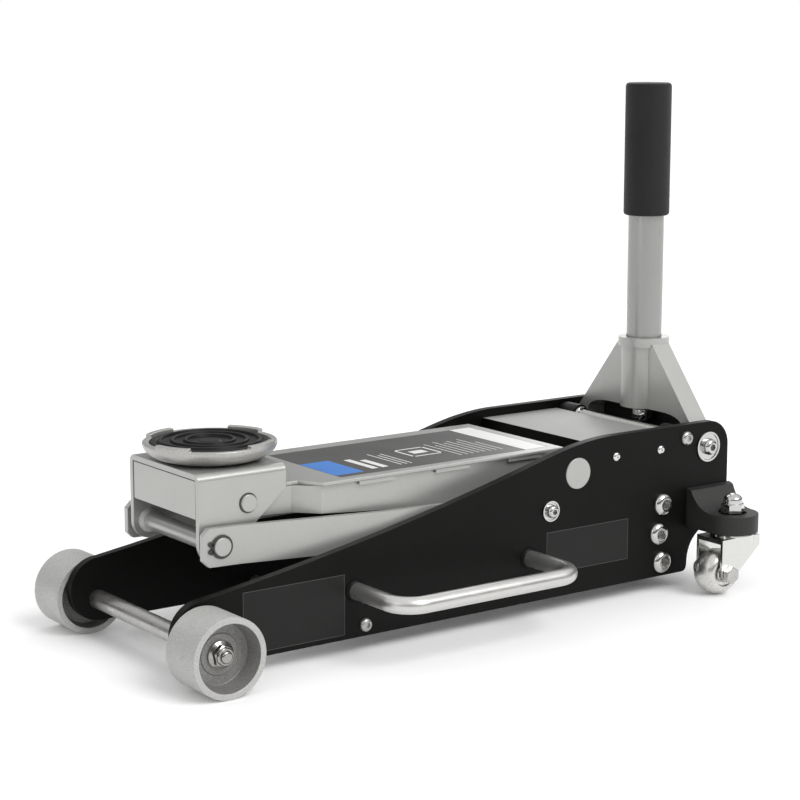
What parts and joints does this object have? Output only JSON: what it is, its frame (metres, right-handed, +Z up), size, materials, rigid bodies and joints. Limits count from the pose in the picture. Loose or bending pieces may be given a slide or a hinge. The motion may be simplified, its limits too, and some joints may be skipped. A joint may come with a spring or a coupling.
{
  "type": "hydraulic floor jack",
  "caption": "Low-profile hydraulic floor jack with black side plates, a parallelogram lift arm, a ribbed saddle, rear casters and an upright operating handle.",
  "frame": {"origin": "on the floor under the middle of the jack's length and width", "axes": "+X from the saddle to the handle, +Y from the jack's left to its right, +Z up"},
  "size_m": [0.5644, 0.3068, 0.4277],
  "materials": {
    "black_plate": "satin black powder coat on aluminium plate",
    "grey_paint": "satin silver-grey paint on steel",
    "cast_grey": "fine speckled grey powder coat on a casting",
    "bright_steel": "bright zinc or chrome plating",
    "brushed_steel": "satin turned steel",
    "dark_steel": "oiled dark steel",
    "spring_steel": "oiled spring wire",
    "black_casting": "black powder coat on a casting",
    "rubber": "matt black ribbed rubber",
    "foam": "matt black foam rubber"
  },
  "bodies": {
    "frame": {"side_plate_left": "black_plate", "side_plate_right": "black_plate", "front_axle": "bright_steel", "front_axle_sleeve": "brushed_steel", "front_axle_nut_left": "bright_steel", "front_axle_nut_right": "bright_steel", "carry_handle_left": "brushed_steel", "carry_handle_right": "brushed_steel", "front_tie_rod": "brushed_steel", "rear_tie_rod": "brushed_steel", "unit_bolt_upper": "bright_steel", "unit_bolt_middle": "bright_steel", "unit_bolt_lower": "bright_steel", "link_pivot_bolt_left": "bright_steel", "link_pivot_bolt_right": "bright_steel", "socket_pivot_bolt_left": "bright_steel", "socket_pivot_bolt_right": "bright_steel", "arm_pivot_shaft": "grey_paint", "pump_block": "black_casting", "ram_cylinder": "dark_steel", "oil_tank": "black_casting", "unit_cover": "grey_paint", "pump_neck": "brushed_steel", "pump_spring": "spring_steel", "return_spring_left": "spring_steel", "return_spring_right": "spring_steel", "caster_bracket_left": "black_casting", "caster_bracket_right": "black_casting", "caster_kingpin_left": "bright_steel", "caster_kingpin_right": "bright_steel"},
    "arm": {"arm_side_left": "grey_paint", "arm_side_right": "grey_paint", "arm_top_cover": "grey_paint", "crank_pin": "dark_steel", "arm_nose_pin": "grey_paint"},
    "links": {"parallel_link_left": "grey_paint", "parallel_link_right": "grey_paint"},
    "bracket": {"saddle_bracket": "grey_paint", "bracket_front_plate": "grey_paint", "bracket_cross_pin": "brushed_steel"},
    "saddle": {"saddle_dish": "cast_grey", "saddle_pad": "rubber"},
    "ram": {"ram_rod": "bright_steel", "ram_yoke": "dark_steel"},
    "socket": {"handle_socket": "grey_paint", "pump_lever": "black_casting"},
    "roller": {"pump_roller": "brushed_steel"},
    "plunger": {"pump_plunger": "bright_steel"},
    "valve": {"release_valve": "bright_steel"},
    "handle": {"handle_tube": "brushed_steel", "handle_grip": "foam", "release_spindle": "bright_steel"},
    "front_wheel_left": {"front_wheel_left": "cast_grey"},
    "front_wheel_right": {"front_wheel_right": "cast_grey"},
    "caster_left": {"caster_fork_left": "bright_steel", "caster_axle_left": "bright_steel"},
    "caster_right": {"caster_fork_right": "bright_steel", "caster_axle_right": "bright_steel"},
    "caster_wheel_left": {"caster_wheel_left": "bright_steel"},
    "caster_wheel_right": {"caster_wheel_right": "bright_steel"}
  },
  "joints": [
    {"name": "lift", "type": "hinge", "parent": "frame", "child": "arm", "pos_m": [0.10835, 0, 0.1141], "axis": [0, 1, 0], "range_deg": [-14, 40]},
    {"name": "bracket_level", "type": "hinge", "parent": "arm", "child": "bracket", "pos_m": [-0.19025, 0, 0.1233], "axis": [0, 1, 0], "range_deg": [-40, 14]},
    {"name": "link_swing", "type": "hinge", "parent": "frame", "child": "links", "pos_m": [0.07955, 0, 0.0862], "axis": [0, 1, 0], "range_deg": [-14, 40]},
    {"name": "ram_travel", "type": "slide", "parent": "frame", "child": "ram", "axis": [-1, 0, 0], "range_m": [-0.00991, 0.02827], "deforming": ["return_spring_left", "return_spring_right"]},
    {"name": "saddle_spin", "type": "hinge", "parent": "bracket", "child": "saddle", "pos_m": [-0.19175, 0, 0.1494], "axis": [0, 0, 1], "continuous": true},
    {"name": "handle_tip", "type": "hinge", "parent": "frame", "child": "socket", "pos_m": [0.25525, 0, 0.1194], "axis": [0, 1, 0], "range_deg": [0, 75]},
    {"name": "roller_spin", "type": "hinge", "parent": "socket", "child": "roller", "pos_m": [0.26743, 0, 0.10353], "axis": [0, 1, 0], "continuous": true},
    {"name": "pump_stroke", "type": "slide", "parent": "frame", "child": "plunger", "axis": [-1, 0, 0], "range_m": [0, 0.02437], "deforming": ["pump_spring"]},
    {"name": "handle_twist", "type": "hinge", "parent": "socket", "child": "handle", "pos_m": [0.25525, 0, 0.1505], "axis": [0, 0, 1], "range_deg": [0, 180]},
    {"name": "release_valve_turn", "type": "hinge", "parent": "frame", "child": "valve", "pos_m": [0.23025, -0.034, 0.087], "axis": [0, 0, 1], "range_deg": [0, 180]},
    {"name": "front_wheel_left_spin", "type": "hinge", "parent": "frame", "child": "front_wheel_left", "pos_m": [-0.25175, -0.105, 0.0305], "axis": [0, 1, 0], "continuous": true},
    {"name": "caster_left_swivel", "type": "hinge", "parent": "frame", "child": "caster_left", "pos_m": [0.25325, -0.1175, 0.0506], "axis": [0, 0, 1], "continuous": true},
    {"name": "caster_wheel_left_spin", "type": "hinge", "parent": "caster_left", "child": "caster_wheel_left", "pos_m": [0.23525, -0.1175, 0.0194], "axis": [0, 1, 0], "continuous": true},
    {"name": "front_wheel_right_spin", "type": "hinge", "parent": "frame", "child": "front_wheel_right", "pos_m": [-0.25175, 0.105, 0.0305], "axis": [0, 1, 0], "continuous": true},
    {"name": "caster_right_swivel", "type": "hinge", "parent": "frame", "child": "caster_right", "pos_m": [0.25325, 0.1175, 0.0506], "axis": [0, 0, 1], "continuous": true},
    {"name": "caster_wheel_right_spin", "type": "hinge", "parent": "caster_right", "child": "caster_wheel_right", "pos_m": [0.23525, 0.1175, 0.0194], "axis": [0, 1, 0], "continuous": true}
  ],
  "couplings": [
    {"joint": "bracket_level", "follows": "lift", "ratio": -1},
    {"joint": "link_swing", "follows": "lift", "ratio": 1},
    {"joint": "ram_travel", "follows": "lift", "m_per_rad": 0.040463},
    {"joint": "pump_stroke", "follows": "handle_tip", "m_per_rad": 0.018602},
    {"joint": "release_valve_turn", "follows": "handle_twist", "ratio": 1}
  ]
}
